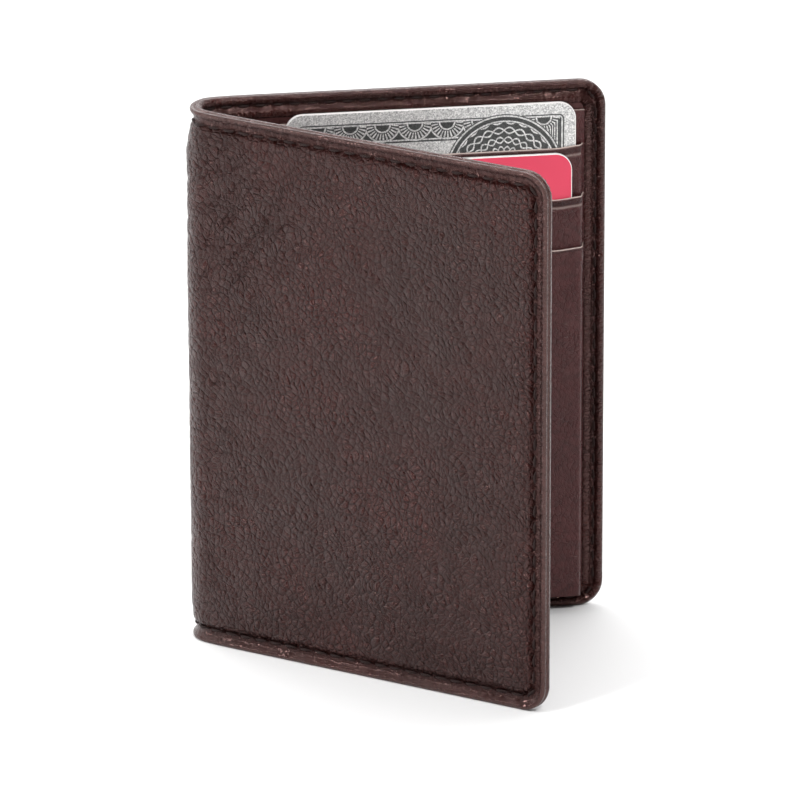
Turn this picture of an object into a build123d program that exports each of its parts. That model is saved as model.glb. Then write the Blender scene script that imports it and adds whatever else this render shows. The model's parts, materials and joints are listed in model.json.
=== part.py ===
"""Portrait bifold card wallet in leather, standing half open like a book.

The back cover lies along +X with its outer face towards +Y. The spine joins it to the front cover, which swings
towards -Y. Every cover is drawn flat in leaf coordinates: u runs from the fold axis to the free edge, w runs up
from the bottom edge, and d is the depth below the outer face. The covers are drawn closed and then opened to
the rest pose, and the origin is moved to the middle of the standing wallet's footprint.
"""
import math
import os

from build123d import *

# Driving sizes, in millimetres and degrees
HEIGHT = 103.0
LEAF_LENGTH = 76.1
CLOSED_THICKNESS = 8.4
REST_OPENING = 40.0
FREE_CORNER_RADIUS = 5.0

# Skins of a cover, from the outer face inwards
LEATHER = 0.9
STIFFENER = 0.3
LINING = 0.3
HEM_LEATHER = 0.6
EDGE_ROLL_WIDTH = 2.0
HEM_WIDTH = 4.3
EDGE_FILLET = 0.8
STIFFENER_START = 3.0

# Fold: a strip between two hinge axes that run at half its thickness
SPINE_SKIN = 1.8
LEAF_START = 1.0

# Standard card
CARD_WIDTH = 53.98
CARD_LENGTH = 85.60
CARD_THICKNESS = 0.76
CARD_RADIUS = 3.18
CARD_PLAY = 0.06
CHIP_SIZE = (11.4, 12.6)
CHIP_DEPTH = 0.2
CHIP_INSET = (19.2, 10.3)

# Stepped pockets on the back cover
POCKET_SKIN = 0.4
DIVIDER = 0.15
POCKET_WALL = 0.4
SPARE_SLOT = 0.8
POCKET_SPAN = (9.6, 71.6)
POCKET_BOTTOM = 3.0
MOUTHS = (90.4, 80.9, 71.3)
STRIP_OVERLAP = 4.0
BASE_PANEL_TOP = 98.5
SILVER_CARD_AT = (16.3, 13.7)
RED_CARD_AT = (15.4, 4.2)
SLIP_POCKET_TOP = 88.0
SLIP_POCKET_DIP = 9.0
SLIP_POCKET_DIP_WIDTH = 22.0

# Stitching
STITCH_INSET = 2.5
STITCH_PITCH = 3.2
STITCH_LENGTH = 2.4
STITCH_WIDTH = 0.5
STITCH_THICKNESS = 0.2
CORNER_STITCH = 1.4
GROOVE_WIDTH = 0.8
GROOVE_DEPTH = 0.25
SEAM_INSET = 2.2

# Worked out from the sizes above
AXIS_DEPTH = SPINE_SKIN / 2
SPINE_LENGTH = CLOSED_THICKNESS - 2 * AXIS_DEPTH
FOLD_TURN = REST_OPENING / 2
LINING_TOP = LEATHER + STIFFENER + LINING
HEM_TOP = LINING_TOP + HEM_LEATHER
BACK_FOLD = (0.0, -AXIS_DEPTH)
FRONT_FOLD = (0.0, -AXIS_DEPTH - SPINE_LENGTH)

SILVER_DEPTH = HEM_TOP + CARD_PLAY
TOP_FACING_DEPTH = SILVER_DEPTH + CARD_THICKNESS + CARD_PLAY
RED_DEPTH = TOP_FACING_DEPTH + POCKET_SKIN + CARD_PLAY
MIDDLE_FACING_DEPTH = RED_DEPTH + CARD_THICKNESS + CARD_PLAY
FRONT_FACING_DEPTH = MIDDLE_FACING_DEPTH + POCKET_SKIN + SPARE_SLOT


def slab(u, w, d, free_radius=0.0):
    """Flat sheet over the spans u, w and d, with its two free corners rounded."""
    sheet = Pos((u[0] + u[1]) / 2, -(d[0] + d[1]) / 2, (w[0] + w[1]) / 2)
    sheet = sheet * Box(u[1] - u[0], d[1] - d[0], w[1] - w[0])
    if free_radius > 0:
        free_corners = sheet.edges().filter_by(Axis.Y).group_by(Axis.X)[-1]
        sheet = fillet(free_corners, free_radius)
    return sheet


def inset_slab(inset, d, start=LEAF_START):
    """Sheet that stays a given distance inside the cover's three free edges."""
    radius = max(FREE_CORNER_RADIUS - inset, 0.5)
    return slab((start, LEAF_LENGTH - inset), (inset, HEIGHT - inset), d, radius)


def ring_slab(outer_inset, inner_inset, d):
    """Band along the three free edges, open at the fold."""
    return inset_slab(outer_inset, d) - inset_slab(inner_inset, d, start=0.0)


def cover_leather():
    """Outer leather that turns round the free edges into a roll and a hem on the inner side."""
    block = inset_slab(0.0, (0.0, HEM_TOP))
    rolled_edges = [
        edge
        for edge in block.edges()
        if edge.center().X > LEAF_START + 0.1 and edge.bounding_box().size.Y < 0.1
    ]
    block = fillet(rolled_edges, EDGE_FILLET)
    leather = block - inset_slab(EDGE_ROLL_WIDTH, (LEATHER, HEM_TOP), start=0.0)
    leather += ring_slab(EDGE_ROLL_WIDTH, HEM_WIDTH, (LINING_TOP, HEM_TOP))
    half_groove = GROOVE_WIDTH / 2
    for surface in ((0.0, GROOVE_DEPTH), (HEM_TOP - GROOVE_DEPTH, HEM_TOP)):
        leather -= ring_slab(STITCH_INSET - half_groove, STITCH_INSET + half_groove, surface)
    return leather


def stitch(u, w, angle, length, d):
    """One thread segment that lies flat, turned by angle in the cover's plane."""
    thread = Box(length, STITCH_THICKNESS, STITCH_WIDTH)
    return Pos(u, -d, w) * Rot(0, -angle, 0) * thread


def stitch_run(start, end, d):
    """Evenly pitched stitches from start to end, both (u, w)."""
    run = (end[0] - start[0], end[1] - start[1])
    length = math.hypot(*run)
    angle = math.degrees(math.atan2(run[1], run[0]))
    count = max(round(length / STITCH_PITCH), 1)
    steps = [(index + 0.5) / count for index in range(count)]
    return [
        stitch(start[0] + step * run[0], start[1] + step * run[1], angle, STITCH_LENGTH, d)
        for step in steps
    ]


def edge_stitches(d):
    """Stitches along the top, free and bottom edges of a cover, with one in each corner."""
    low = STITCH_INSET
    high = HEIGHT - STITCH_INSET
    side = LEAF_LENGTH - STITCH_INSET
    arc_start = LEAF_LENGTH - FREE_CORNER_RADIUS
    stitches = stitch_run((LEAF_START, high), (arc_start, high), d)
    stitches += stitch_run((side, HEIGHT - FREE_CORNER_RADIUS), (side, FREE_CORNER_RADIUS), d)
    stitches += stitch_run((arc_start, low), (LEAF_START, low), d)
    reach = (FREE_CORNER_RADIUS - STITCH_INSET) * math.cos(math.radians(45))
    top = HEIGHT - FREE_CORNER_RADIUS + reach
    bottom = FREE_CORNER_RADIUS - reach
    stitches.append(stitch(arc_start + reach, top, -45, CORNER_STITCH, d))
    stitches.append(stitch(arc_start + reach, bottom, 45, CORNER_STITCH, d))
    return stitches


def cover_stitching():
    """Thread on the outer face and on the hem, laid in the grooves."""
    outer = edge_stitches(GROOVE_DEPTH - STITCH_THICKNESS / 2)
    inner = edge_stitches(HEM_TOP - GROOVE_DEPTH + STITCH_THICKNESS / 2)
    return Compound(outer + inner)


def cover_stiffener():
    """Board between the leather and the lining, inside the edge roll."""
    return inset_slab(EDGE_ROLL_WIDTH, (LEATHER, LEATHER + STIFFENER), start=STIFFENER_START)


def cover_lining():
    """Lining over the whole inner face, tucked under the hem."""
    return inset_slab(EDGE_ROLL_WIDTH, (LEATHER + STIFFENER, LINING_TOP))


def pocket(level, facing_depth, bottom):
    """Leather pocket strip with turned side walls, nested inside the pocket in front of it."""
    inset = (len(MOUTHS) - 1 - level) * POCKET_WALL
    left = POCKET_SPAN[0] + inset
    right = POCKET_SPAN[1] - inset
    span_w = (bottom, MOUTHS[level])
    strip = slab((left, right), span_w, (facing_depth, facing_depth + POCKET_SKIN))
    strip += slab((left, left + POCKET_WALL), span_w, (HEM_TOP, facing_depth))
    strip += slab((right - POCKET_WALL, right), span_w, (HEM_TOP, facing_depth))
    return strip


def pocket_divider(level, facing_depth):
    """Thin fabric that carries a pocket strip down to the bottom of the block."""
    inset = len(MOUTHS) * POCKET_WALL
    span_u = (POCKET_SPAN[0] + inset, POCKET_SPAN[1] - inset)
    top = MOUTHS[level + 1] - STRIP_OVERLAP
    return slab(span_u, (POCKET_BOTTOM + POCKET_WALL, top), (facing_depth, facing_depth + DIVIDER))


def front_pocket():
    """Frontmost pocket: full-height facing with turned sides and a closed bottom."""
    facing = pocket(2, FRONT_FACING_DEPTH, POCKET_BOTTOM)
    floor_w = (POCKET_BOTTOM, POCKET_BOTTOM + POCKET_WALL)
    return facing + slab(POCKET_SPAN, floor_w, (HEM_TOP, FRONT_FACING_DEPTH))


def pocket_seam():
    """Vertical seam along the block's fold side, stepping over the four layers."""
    u = POCKET_SPAN[0] + SEAM_INSET
    steps = (
        (BASE_PANEL_TOP, MOUTHS[0], HEM_TOP),
        (MOUTHS[0], MOUTHS[1], TOP_FACING_DEPTH + POCKET_SKIN),
        (MOUTHS[1], MOUTHS[2], MIDDLE_FACING_DEPTH + POCKET_SKIN),
        (MOUTHS[2], POCKET_BOTTOM, FRONT_FACING_DEPTH + POCKET_SKIN),
    )
    stitches = []
    for high, low, surface in steps:
        stitches += stitch_run((u, high), (u, low), surface + STITCH_THICKNESS / 2)
    return Compound(stitches)


def base_panel():
    """Leather panel behind the cards, level with the hem."""
    span_w = (HEM_WIDTH + 0.1, BASE_PANEL_TOP)
    return slab((POCKET_SPAN[0], POCKET_SPAN[1]), span_w, (LINING_TOP, HEM_TOP))


def slip_pocket():
    """Single panel inside the front cover, with a thumb dip in its mouth."""
    span_u = (POCKET_SPAN[0], POCKET_SPAN[1])
    depth = (LINING_TOP, LINING_TOP + POCKET_SKIN)
    panel = slab(span_u, (HEM_WIDTH + 0.1, SLIP_POCKET_TOP), depth)
    half = SLIP_POCKET_DIP_WIDTH / 2
    radius = (half ** 2 + SLIP_POCKET_DIP ** 2) / (2 * SLIP_POCKET_DIP)
    centre_u = (span_u[0] + span_u[1]) / 2
    centre_w = SLIP_POCKET_TOP - SLIP_POCKET_DIP + radius
    dip = Pos(centre_u, -depth[0], centre_w) * Rot(90, 0, 0) * Cylinder(radius, 4 * POCKET_SKIN)
    return panel - dip


def slip_pocket_seam():
    """Seam along the fold side of the slip pocket."""
    u = POCKET_SPAN[0] + SEAM_INSET
    surface = LINING_TOP + POCKET_SKIN + STITCH_THICKNESS / 2
    return Compound(stitch_run((u, SLIP_POCKET_TOP), (u, HEM_WIDTH), surface))


def chip_slab(at, card_depth):
    """Contact chip, set flush in the inner face of a card that stands on its short edge."""
    u = at[0] + CARD_WIDTH - CHIP_INSET[0]
    w = at[1] + CHIP_INSET[1]
    surface = card_depth + CARD_THICKNESS
    return slab((u - CHIP_SIZE[0], u), (w, w + CHIP_SIZE[1]), (surface - CHIP_DEPTH, surface))


def card(at, depth):
    """Standard card with rounded corners and a recess for its chip."""
    blank = slab(
        (at[0], at[0] + CARD_WIDTH), (at[1], at[1] + CARD_LENGTH), (depth, depth + CARD_THICKNESS)
    )
    blank = fillet(blank.edges().filter_by(Axis.Y), CARD_RADIUS)
    return blank - chip_slab(at, depth)


def spine_strip():
    """Whole skin of the fold in the closed pose: a slot shape between the two hinge axes."""
    middle = (BACK_FOLD[1] + FRONT_FOLD[1]) / 2
    outline = Pos(0, middle, 0) * Rot(0, 0, 90) * SlotCenterToCenter(SPINE_LENGTH, SPINE_SKIN)
    return extrude(outline, HEIGHT)


def spine_half(side):
    """Leather half (side -1) or lining half (side 1), grooved for its stitches."""
    middle = (BACK_FOLD[1] + FRONT_FOLD[1]) / 2
    half_space = Pos(side * SPINE_SKIN / 2, middle, HEIGHT / 2)
    half_space = half_space * Box(SPINE_SKIN, 2 * CLOSED_THICKNESS, 2 * HEIGHT)
    skin = spine_strip() & half_space
    surface = side * (SPINE_SKIN / 2 - GROOVE_DEPTH / 2)
    for w in (STITCH_INSET, HEIGHT - STITCH_INSET):
        groove = Pos(surface, middle, w) * Box(GROOVE_DEPTH, CLOSED_THICKNESS, GROOVE_WIDTH)
        skin -= groove
    return skin


def spine_stitching():
    """Two stitches at the top and bottom of the fold, outside and inside."""
    middle = (BACK_FOLD[1] + FRONT_FOLD[1]) / 2
    floor = SPINE_SKIN / 2 - GROOVE_DEPTH + STITCH_THICKNESS / 2
    threads = []
    for side in (-1, 1):
        for w in (STITCH_INSET, HEIGHT - STITCH_INSET):
            for shift in (-STITCH_PITCH / 2, STITCH_PITCH / 2):
                thread = Box(STITCH_THICKNESS, STITCH_LENGTH, STITCH_WIDTH)
                threads.append(Pos(side * floor, middle + shift, w) * thread)
    return Compound(threads)


def as_front_cover(shape):
    """A back-cover shape mirrored to the far side of the closed stack."""
    return Pos(0, -CLOSED_THICKNESS, 0) * mirror(shape, about=Plane.XZ)


def turn(shape, fold):
    """One fold's share of the opening, about its own axis."""
    return shape.rotate(Axis((fold[0], fold[1], 0), (0, 0, 1)), -FOLD_TURN)


def back_nodes():
    """Back cover with its pockets."""
    return {
        "back_outer_leather": cover_leather(),
        "back_stiffener": cover_stiffener(),
        "back_lining": cover_lining(),
        "back_edge_stitching": cover_stitching(),
        "card_base_panel": base_panel(),
        "card_pocket_top": pocket(0, TOP_FACING_DEPTH, MOUTHS[1] - STRIP_OVERLAP),
        "card_pocket_top_divider": pocket_divider(0, TOP_FACING_DEPTH),
        "card_pocket_middle": pocket(1, MIDDLE_FACING_DEPTH, MOUTHS[2] - STRIP_OVERLAP),
        "card_pocket_middle_divider": pocket_divider(1, MIDDLE_FACING_DEPTH),
        "card_pocket_front": front_pocket(),
        "pocket_seam_stitching": pocket_seam(),
        "silver_card": card(SILVER_CARD_AT, SILVER_DEPTH),
        "silver_card_chip": chip_slab(SILVER_CARD_AT, SILVER_DEPTH),
        "red_card": card(RED_CARD_AT, RED_DEPTH),
        "red_card_chip": chip_slab(RED_CARD_AT, RED_DEPTH),
    }


def spine_nodes():
    """Fold between the covers, turned once to the rest pose."""
    nodes = {
        "spine_leather": spine_half(-1),
        "spine_lining": spine_half(1),
        "spine_stitching": spine_stitching(),
    }
    return {name: turn(shape, BACK_FOLD) for name, shape in nodes.items()}


def front_nodes():
    """Front cover, turned about both folds to the rest pose."""
    nodes = {
        "front_outer_leather": cover_leather(),
        "front_stiffener": cover_stiffener(),
        "front_lining": cover_lining(),
        "front_edge_stitching": cover_stitching(),
        "front_slip_pocket": slip_pocket(),
        "slip_pocket_stitching": slip_pocket_seam(),
    }
    return {
        name: turn(turn(as_front_cover(shape), FRONT_FOLD), BACK_FOLD)
        for name, shape in nodes.items()
    }


def main():
    nodes = {**back_nodes(), **spine_nodes(), **front_nodes()}
    box = Compound([solid for shape in nodes.values() for solid in shape.solids()]).bounding_box()
    origin = Vector((box.min.X + box.max.X) / 2, (box.min.Y + box.max.Y) / 2, box.min.Z)
    os.makedirs("parts", exist_ok=True)
    for name, shape in nodes.items():
        placed = Pos(-origin.X, -origin.Y, -origin.Z) * shape
        export_step(placed, f"parts/{name}.step")
    turned = math.radians(FOLD_TURN)
    front_fold = Vector(*BACK_FOLD) - SPINE_LENGTH * Vector(math.sin(turned), math.cos(turned))
    print("box", box.size, "origin", origin)
    print("back fold axis", Vector(*BACK_FOLD) - origin, "front fold axis", front_fold - origin)


main()
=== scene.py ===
"""Looks of a portrait bifold card wallet in leather, made to fit its frame of bodies and joints.

The wallet is made as a leatherworker makes it. Each piece is cut and shaped flat on the bench, with x running
from the middle of the spine to the cover's free edge, y up the cover and z out of its outer face, all in
millimetres. It is then folded round the spine and brought to its place on the front or the back cover.
"""
import json
import math
import random

import bpy
import numpy as np
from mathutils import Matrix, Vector, noise


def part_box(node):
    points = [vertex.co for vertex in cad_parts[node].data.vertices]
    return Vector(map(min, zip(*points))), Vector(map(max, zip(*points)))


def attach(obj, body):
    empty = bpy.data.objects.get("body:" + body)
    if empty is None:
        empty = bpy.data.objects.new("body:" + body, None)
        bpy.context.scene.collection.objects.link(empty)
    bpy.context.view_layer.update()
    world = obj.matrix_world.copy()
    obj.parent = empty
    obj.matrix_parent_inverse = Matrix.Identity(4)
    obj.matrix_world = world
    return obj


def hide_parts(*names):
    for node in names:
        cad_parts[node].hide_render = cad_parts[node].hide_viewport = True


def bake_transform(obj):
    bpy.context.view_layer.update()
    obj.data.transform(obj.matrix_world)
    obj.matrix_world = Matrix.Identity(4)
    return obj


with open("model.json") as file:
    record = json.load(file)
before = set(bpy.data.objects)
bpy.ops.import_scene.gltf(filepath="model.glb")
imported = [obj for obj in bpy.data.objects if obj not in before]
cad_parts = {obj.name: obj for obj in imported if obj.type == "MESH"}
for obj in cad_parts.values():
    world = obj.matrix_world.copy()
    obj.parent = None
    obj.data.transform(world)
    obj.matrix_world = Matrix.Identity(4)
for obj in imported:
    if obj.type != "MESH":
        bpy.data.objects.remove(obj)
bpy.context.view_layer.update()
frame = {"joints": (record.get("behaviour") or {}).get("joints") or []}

MM = 0.001
FRONT, BACK = "front", "back"
SIDE_BODY = {FRONT: "front_cover", BACK: "back_cover"}

# Places read from the frame, in millimetres
joint_places = {joint["name"]: joint.get("pos_m") for joint in frame["joints"]}
BACK_FOLD = np.array(joint_places["spine_fold"][:2]) / MM
FRONT_FOLD = np.array(joint_places["cover_fold"][:2]) / MM
back_low, back_high = (np.array(corner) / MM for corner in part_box("back_outer_leather"))
HEIGHT = back_high[2] - back_low[2]
LEAF = back_high[0] - BACK_FOLD[0]
AXIS_DEPTH = back_high[1] - BACK_FOLD[1]

# The skin runs round the fold as one arc between the two flat covers
FOLD_RADIUS = 4.7
chord = BACK_FOLD - FRONT_FOLD
HALF_CHORD = np.linalg.norm(chord) / 2
TO_BACK = chord / (2 * HALF_CHORD)
INTO_OPENING = np.array([TO_BACK[1], -TO_BACK[0]])
HALF_OPENING = math.asin(TO_BACK[0])
covers_meet = (BACK_FOLD + FRONT_FOLD) / 2 - INTO_OPENING * HALF_CHORD / math.tan(HALF_OPENING)
FOLD_CENTRE = covers_meet + INTO_OPENING * FOLD_RADIUS / math.sin(HALF_OPENING)
QUARTER_TURN = math.pi / 2 - HALF_OPENING
ARC = FOLD_RADIUS * QUARTER_TURN
TANGENT = FOLD_RADIUS / math.tan(HALF_OPENING) - HALF_CHORD / math.sin(HALF_OPENING)
SHEET = ARC + LEAF - TANGENT

# Leather work
CORNER = 5.0
STITCH_INSET = 2.7
HEM_STITCH_INSET = 1.9
STITCH_PITCH = 3.2
BEND_RADIUS = CORNER - STITCH_INSET
STITCH_RUN = 2 * (SHEET - CORNER) + BEND_RADIUS * math.pi + HEIGHT - 2 * CORNER
STITCH_COUNT = round(STITCH_RUN / STITCH_PITCH)
FIELD_CELL = 0.66
EDGE_LEVELS = 34
OUTER_LEVELS = EDGE_LEVELS // 2
GROOVE_LEVELS = 9
HOLE_DEPTH = 0.1
HEM_HOLE_DEPTH = 0.12
SKIN = 0.35
LINING_LIFT = -1.55
HEM_INNER_CREST = {FRONT: -2.35, BACK: -2.1}

# Pockets, from the fold's side to the hem; the panel behind them is tucked down a little
POCKET_START = 9.6
POCKET_END = 72.0
POCKET_SEAM = POCKET_START + 2.2
PANEL_TUCK = 2.4
SEAM_DEPTH = 2.15
UNDER_HEM_DEPTH = 1.6
THUMB_DIP_DEPTH = 9.0
THUMB_DIP_HALF_WIDTH = 12.0

CARD_CORNER = 3.18


# -------- the fold

def folded(side, points):
    """Bench points in millimetres brought round the fold to their place in the frame, in metres."""
    along = TO_BACK if side == BACK else -TO_BACK
    run, lift = points[:, 0], points[:, 2] + AXIS_DEPTH
    turn = np.clip(run / FOLD_RADIUS, -QUARTER_TURN, QUARTER_TURN)
    straight = np.maximum(run - ARC, 0.0)
    outward = -np.cos(turn)[:, None] * INTO_OPENING + np.sin(turn)[:, None] * along
    forward = np.sin(turn)[:, None] * INTO_OPENING + np.cos(turn)[:, None] * along
    place = FOLD_CENTRE + outward * (FOLD_RADIUS + lift)[:, None] + forward * straight[:, None]
    return np.column_stack([place, points[:, 1]]) * MM


def read_points(piece):
    """Vertices of a piece as an array."""
    values = np.zeros(len(piece.data.vertices) * 3)
    piece.data.vertices.foreach_get("co", values)
    return values.reshape(-1, 3)


def write_points(piece, points):
    """Puts a piece's vertices at these points."""
    piece.data.vertices.foreach_set("co", np.asarray(points, float).ravel())
    piece.data.update()


def pick(*pieces):
    """Selects these pieces alone and makes the first the active one."""
    bpy.ops.object.select_all(action="DESELECT")
    for piece in pieces:
        piece.select_set(True)
    bpy.context.view_layer.objects.active = pieces[0]


def apply_modifier(piece, kind, **settings):
    """Adds a modifier with these settings and applies it."""
    pick(piece)
    modifier = piece.modifiers.new(kind.lower(), kind)
    for key, value in settings.items():
        setattr(modifier, key, value)
    bpy.ops.object.modifier_apply(modifier=modifier.name)


def fold_piece(piece, side):
    """Folds a finished bench piece onto its cover; the back cover mirrors it, so its faces are flipped."""
    write_points(piece, folded(side, read_points(piece)))
    if side == BACK:
        pick(piece)
        bpy.ops.object.mode_set(mode="EDIT")
        bpy.ops.mesh.select_all(action="SELECT")
        bpy.ops.mesh.flip_normals()
        bpy.ops.object.mode_set(mode="OBJECT")


def ride_cover(piece):
    """Bakes a piece's placement into its vertices."""
    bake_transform(piece)


def smooth_step(value, low, high):
    """0 below low, 1 above high and a soft rise between them."""
    share = min(max((value - low) / (high - low), 0.0), 1.0)
    return share * share * (3 - 2 * share)


def hill(value, width):
    """Bell curve of height 1 about zero."""
    return math.exp(-((value / width) ** 2))


# -------- bench work

def bench_grid(name, columns, rows):
    """Flat sheet of columns by rows cells, with each vertex's column and row."""
    bpy.ops.object.select_all(action="DESELECT")
    bpy.ops.mesh.primitive_grid_add(x_subdivisions=columns, y_subdivisions=rows, size=1)
    sheet = bpy.context.object
    sheet.name = name
    lattice = [
        (round((v.co.x + 0.5) * columns), round((v.co.y + 0.5) * rows)) for v in sheet.data.vertices
    ]
    return sheet, lattice


def make_sheet(sheet, places, thickness, offset, side):
    """Shapes a bench sheet to these places, thickens it and folds it onto a cover."""
    write_points(sheet, places)
    apply_modifier(sheet, "SOLIDIFY", thickness=thickness, offset=offset)
    fold_piece(sheet, side)
    return sheet


def lay_pattern(piece, name, places):
    """UV map that holds each vertex's place on the flat cut, in millimetres."""
    layer = piece.data.uv_layers.get(name) or piece.data.uv_layers.new(name=name)
    for loop in piece.data.loops:
        layer.data[loop.index].uv = places[loop.vertex_index]


def mark(piece, name, values):
    """Number for each vertex that a material can read."""
    piece.data.attributes.new(name, "FLOAT", "POINT").data.foreach_set("value", values)


def through(points, count):
    """Count + 1 points, evenly spaced along a smooth curve through a few given ones."""
    ends = [points[0], *points, points[-1]]
    dense = []
    for before, start, end, after in zip(ends, ends[1:], ends[2:], ends[3:]):
        before, start, end, after = (np.array(p, float) for p in (before, start, end, after))
        for t in np.linspace(0, 1, 24, endpoint=False):
            bend = 2 * before - 5 * start + 4 * end - after
            twist = 3 * start - before - 3 * end + after
            dense.append(0.5 * (2 * start + (end - before) * t + bend * t * t + twist * t ** 3))
    dense.append(np.array(points[-1], float))
    dense = np.array(dense)
    length = np.concatenate([[0], np.cumsum(np.linalg.norm(np.diff(dense, axis=0), axis=1))])
    stations = np.linspace(0, length[-1], count + 1)
    curve = np.column_stack([np.interp(stations, length, dense[:, k]) for k in (0, 1)])
    return curve, stations


def turned_edge(side):
    """Section of the turned edge as (inset, lift): groove, outer roll, parting line, inner roll, bead."""
    inner_crest = HEM_INNER_CREST[side]
    return through(
        [
            (CORNER, 0.0),
            (4.2, 0.02),
            (3.5, -0.12),
            (STITCH_INSET, -0.62),
            (2.1, -0.52),
            (1.5, -0.4),
            (1.05, -0.02),
            (0.6, 0.2),
            (0.15, 0.0),
            (0.1, -0.4),
            (0.25, -0.72),
            (0.02, -1.0),
            (0.03, -1.5),
            (0.35, inner_crest + 0.22),
            (0.85, inner_crest + 0.04),
            (1.35, inner_crest + 0.2),
            (HEM_STITCH_INSET, inner_crest + 0.7),
            (2.4, inner_crest + 0.5),
            (2.9, inner_crest + 0.06),
            (3.45, inner_crest),
            (4.1, inner_crest + 0.14),
            (4.55, -1.35),
        ],
        EDGE_LEVELS,
    )


def crease_line(value):
    """Narrow furrow where a wave passes through zero."""
    return max(1 - abs(value) / 0.16, 0.0)


def drape(run, up):
    """Lift of the leather's own creases: steep ones near the fold's top, level ones down the fold."""
    slant_across = 0.80 * run + 0.60 * up
    slant_along = 0.60 * run - 0.80 * up
    near_top = hill(run - 6.0, 20.0) * smooth_step(up, 0.45 * HEIGHT, 0.92 * HEIGHT)
    steep = crease_line(noise.noise(Vector((slant_along / 4.5, slant_across / 26.0, 3.1))))
    steep += 0.6 * crease_line(noise.noise(Vector((slant_along / 2.6, slant_across / 14.0, 7.7))))
    near_fold = hill(run, 12.0)
    level = crease_line(noise.noise(Vector((run / 11.0, up / 2.8, 11.3))))
    slow = noise.noise(Vector((run / 21.0, up / 26.0, 5.2)))
    return -0.16 * near_top * steep - 0.09 * near_fold * level + 0.16 * slow


def belly(run, up):
    """How far the skin stands out round the fold, between the stitched bands."""
    ends = smooth_step(up, 2.8, 8.5) * smooth_step(HEIGHT - up, 2.8, 9.0)
    fullness = 0.42 * smooth_step(up, 15.0, 75.0) - 0.35
    return fullness * hill(run, 9.0) * ends


def fold_pinch(run, up):
    """The rolled edge is pulled in where it goes round the fold."""
    from_edge = min(up, HEIGHT - up)
    return 0.8 * hill(run, 6.0) * (1 - smooth_step(from_edge, 2.2, 8.5))


def turned_leather(side):
    """Outer leather of one cover, from the middle of the spine, turned round the free edges into a hem.

    Its vertices are marked where it is turned, where painted shade darkens the stitched bands and where a
    painted highlight lightens the crest of the outer rim.
    """
    section, unrolled = turned_edge(side)
    outer_holes = min(range(OUTER_LEVELS), key=lambda level: abs(section[level][0] - STITCH_INSET))
    hem_levels = range(OUTER_LEVELS + 4, EDGE_LEVELS)
    hem_holes = min(hem_levels, key=lambda level: abs(section[level][0] - HEM_STITCH_INSET))
    columns = round((SHEET - CORNER) / FIELD_CELL)
    rows = round((HEIGHT - 2 * CORNER) / FIELD_CELL)
    sheet, lattice = bench_grid(f"{side}_leather", columns + EDGE_LEVELS, rows + 2 * EDGE_LEVELS)
    places, cut, edge_run, turned, painted_hollow_shade, painted_highlight = [], [], [], [], [], []
    for column, row in lattice:
        past_end = max(column - columns, 0)
        below, above = EDGE_LEVELS - row, row - EDGE_LEVELS - rows
        past_side = max(below, above, 0)
        upward = -1 if below > above else 1
        level = max(past_end, past_side)
        run = min(column, columns) / columns * (SHEET - CORNER)
        up = CORNER + min(max(row - EDGE_LEVELS, 0), rows) / rows * (HEIGHT - 2 * CORNER)
        heading = 0.0
        if past_end and past_side:
            heading = math.pi / 4 * min(past_end, past_side) / level
            if past_side > past_end:
                heading = math.pi / 2 - heading
        elif past_side:
            heading = math.pi / 2
        reach, cut_reach = CORNER - section[level][0], unrolled[level]
        lift = section[level][1]
        east, north = math.cos(heading), math.sin(heading) * upward
        x, y = run + reach * east, up + reach * north
        lift += max(1 - level / GROOVE_LEVELS, 0.0) * drape(x, y)
        lift += belly(x, y)
        lift -= fold_pinch(x, y)
        if past_side and past_end:
            lift += corner_pleat(level, heading)
        distance = along_edge(run, up, heading, past_side, upward)
        lift -= HOLE_DEPTH * stitch_hole(distance) * hill(level - outer_holes, 1.4)
        lift += HEM_HOLE_DEPTH * stitch_hole(distance) * hill(level - hem_holes, 1.6)
        places.append((x, y, lift))
        cut.append((run + cut_reach * east, up + cut_reach * north))
        edge_run.append((distance, cut_reach))
        turned.append(smooth_step(level, 3, GROOVE_LEVELS))
        inset, outside = section[level][0], level < OUTER_LEVELS
        band = smooth_step(inset, 0.7, 1.1) - smooth_step(inset, 2.8, 3.3)
        # painted shade: the concave stitched band of the outer face and the hem's stitch valley are marked to
        # be darkened
        painted_hollow_shade.append(0.75 * band * outside + 0.8 * hill(level - hem_holes, 2.2))
        # painted highlight: the crest of the outer rim is marked to be lightened
        painted_highlight.append(hill(inset - 0.3, 0.2) * outside)
    sign = -1 if side == BACK else 1
    lay_pattern(sheet, "cut", [(sign * u, v) for u, v in cut])
    lay_pattern(sheet, "edge", edge_run)
    mark(sheet, "turned", turned)
    mark(sheet, "painted_hollow_shade", painted_hollow_shade)
    mark(sheet, "painted_highlight", painted_highlight)
    return make_sheet(sheet, places, SKIN, -1, side)


def along_edge(run, up, heading, past_side, upward):
    """Distance along the stitch line, from the top of the spine round to its bottom."""
    straight, tall = SHEET - CORNER, HEIGHT - 2 * CORNER
    bend = BEND_RADIUS * math.pi / 2
    if not past_side:
        return straight + bend + HEIGHT - CORNER - up
    if upward > 0:
        return run + BEND_RADIUS * (math.pi / 2 - heading)
    return 2 * straight + 2 * bend + tall - run - BEND_RADIUS * (math.pi / 2 - heading)


def stitch_hole(distance):
    """1 at the holes between stitches, 0 along each stitch."""
    return math.cos(math.pi * distance * STITCH_COUNT / STITCH_RUN) ** 6


def corner_pleat(level, heading):
    """Gathers of the hem at a free corner, strongest on the inner side."""
    inner = smooth_step(level, 17, 23)
    gather = math.sin(heading * 22.0) + 0.5 * math.sin(heading * 37.0 + 1.0)
    return 0.2 * inner * gather * math.sin(2 * heading)


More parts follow.
